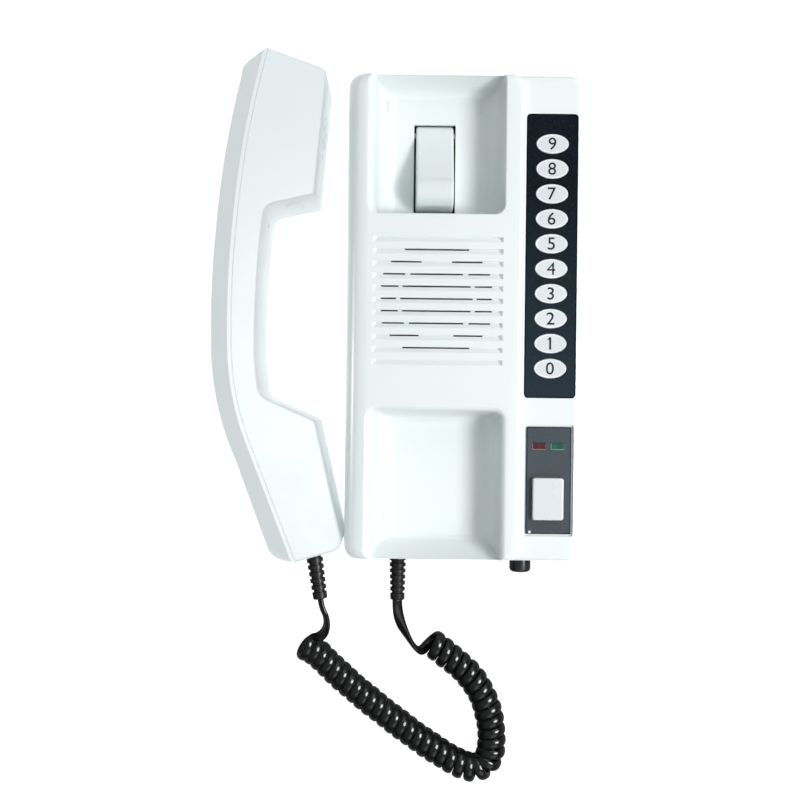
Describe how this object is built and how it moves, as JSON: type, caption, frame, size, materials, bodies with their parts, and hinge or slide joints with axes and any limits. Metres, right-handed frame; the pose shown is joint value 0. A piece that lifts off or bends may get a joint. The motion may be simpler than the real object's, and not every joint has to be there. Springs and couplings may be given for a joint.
{
  "type": "desk intercom",
  "caption": "Desk intercom: flat base with handset cradle, louvred loudspeaker grille, digit keys and call button, and a handset on a curly cord.",
  "frame": {"origin": "centre of the back face of the base, which lies on the table on its rubber feet", "axes": "+Z out of the front with the keys, +Y to the earpiece end of the cradle, +X to the key panel"},
  "size_m": [0.1602, 0.3215, 0.048],
  "materials": {
    "white_shell": "moulded, slightly cool white, satin gloss",
    "lever_plastic": "moulded, satin gloss",
    "steel_screws": "zinc plated",
    "black_rubber": "satin",
    "key_rubber": "silicone, matt",
    "speaker_cloth": "thin black cloth",
    "plated_steel": "plated sheet",
    "cone_paper": "doped paper",
    "key_fascia_black": "printed overlay, satin",
    "call_fascia_grey": "printed overlay, satin",
    "key_white": "moulded, satin",
    "lamp_red": "tinted clear plastic",
    "lamp_green": "tinted clear plastic",
    "circuit_board": "solder mask",
    "black_plastic": "satin",
    "capacitor_sleeve": "shrink sleeve",
    "diode_epoxy": "cast, clouded",
    "cord_black": "glossy sleeve"
  },
  "bodies": {
    "base": {"base_cord_boot": "black_rubber", "board_screws": "steel_screws", "call_fascia": "call_fascia_grey", "call_switch": "black_plastic", "capacitors": "capacitor_sleeve", "cord_coil": "cord_black", "cord_tail_base": "cord_black", "cord_tail_handset": "cord_black", "cover_screws": "steel_screws", "front_cover": "white_shell", "grille_cloth": "speaker_cloth", "hook_pin": "steel_screws", "hook_spring": "steel_screws", "hook_switch": "black_plastic", "key_board": "circuit_board", "key_board_screws": "steel_screws", "key_fascia": "key_fascia_black", "key_mat": "key_rubber", "lamp_diodes": "diode_epoxy", "lamp_window_green": "lamp_green", "lamp_window_red": "lamp_red", "main_board": "circuit_board", "power_inlet": "black_plastic", "radio_shield": "plated_steel", "rear_cover": "white_shell", "rubber_feet": "black_rubber", "speaker_clips": "plated_steel", "speaker_cone": "cone_paper", "speaker_frame": "plated_steel", "speaker_magnet": "plated_steel", "speaker_screws": "steel_screws", "volume_pot": "black_plastic"},
    "hook": {"hook_lever": "lever_plastic"},
    "call_button": {"call_button": "key_white"},
    "volume": {"volume_knob": "black_plastic", "volume_shaft": "plated_steel"},
    "handset": {"earpiece": "black_plastic", "handset_back": "white_shell", "handset_cord_boot": "black_rubber", "handset_front": "white_shell", "handset_screws": "steel_screws", "handset_weight": "plated_steel", "microphone": "black_plastic", "microphone_holder": "black_rubber"},
    "key_0": {"digit_key_0": "key_white"},
    "key_1": {"digit_key_1": "key_white"},
    "key_2": {"digit_key_2": "key_white"},
    "key_3": {"digit_key_3": "key_white"},
    "key_4": {"digit_key_4": "key_white"},
    "key_5": {"digit_key_5": "key_white"},
    "key_6": {"digit_key_6": "key_white"},
    "key_7": {"digit_key_7": "key_white"},
    "key_8": {"digit_key_8": "key_white"},
    "key_9": {"digit_key_9": "key_white"}
  },
  "joints": [
    {"name": "hook_pivot", "type": "hinge", "parent": "base", "child": "hook", "pos_m": [-0.013, 0.0812, 0.0204], "axis": [1, 0, 0], "range_deg": [0, 14], "stiffness_Nm_per_rad": 0.08, "springref_deg": -20.05, "deforming": ["hook_spring"]},
    {"name": "call_press", "type": "slide", "parent": "base", "child": "call_button", "axis": [0, 0, -1], "range_m": [0, 0.0015], "stiffness_N_per_m": 900, "springref_m": -0.0006},
    {"name": "volume_turn", "type": "hinge", "parent": "base", "child": "volume", "pos_m": [0.0276, -0.1, 0.013], "axis": [0, -1, 0], "range_deg": [-140, 140]},
    {"name": "handset_lift", "type": "slide", "parent": "base", "child": "handset", "axis": [0, 0, 1], "range_m": [0, 0.12]},
    {"name": "key_press_0", "type": "slide", "parent": "base", "child": "key_0", "axis": [0, 0, -1], "range_m": [0, 0.0006], "stiffness_N_per_m": 1600, "springref_m": -0.0004},
    {"name": "key_press_1", "type": "slide", "parent": "base", "child": "key_1", "axis": [0, 0, -1], "range_m": [0, 0.0006], "stiffness_N_per_m": 1600, "springref_m": -0.0004},
    {"name": "key_press_2", "type": "slide", "parent": "base", "child": "key_2", "axis": [0, 0, -1], "range_m": [0, 0.0006], "stiffness_N_per_m": 1600, "springref_m": -0.0004},
    {"name": "key_press_3", "type": "slide", "parent": "base", "child": "key_3", "axis": [0, 0, -1], "range_m": [0, 0.0006], "stiffness_N_per_m": 1600, "springref_m": -0.0004},
    {"name": "key_press_4", "type": "slide", "parent": "base", "child": "key_4", "axis": [0, 0, -1], "range_m": [0, 0.0006], "stiffness_N_per_m": 1600, "springref_m": -0.0004},
    {"name": "key_press_5", "type": "slide", "parent": "base", "child": "key_5", "axis": [0, 0, -1], "range_m": [0, 0.0006], "stiffness_N_per_m": 1600, "springref_m": -0.0004},
    {"name": "key_press_6", "type": "slide", "parent": "base", "child": "key_6", "axis": [0, 0, -1], "range_m": [0, 0.0006], "stiffness_N_per_m": 1600, "springref_m": -0.0004},
    {"name": "key_press_7", "type": "slide", "parent": "base", "child": "key_7", "axis": [0, 0, -1], "range_m": [0, 0.0006], "stiffness_N_per_m": 1600, "springref_m": -0.0004},
    {"name": "key_press_8", "type": "slide", "parent": "base", "child": "key_8", "axis": [0, 0, -1], "range_m": [0, 0.0006], "stiffness_N_per_m": 1600, "springref_m": -0.0004},
    {"name": "key_press_9", "type": "slide", "parent": "base", "child": "key_9", "axis": [0, 0, -1], "range_m": [0, 0.0006], "stiffness_N_per_m": 1600, "springref_m": -0.0004}
  ]
}
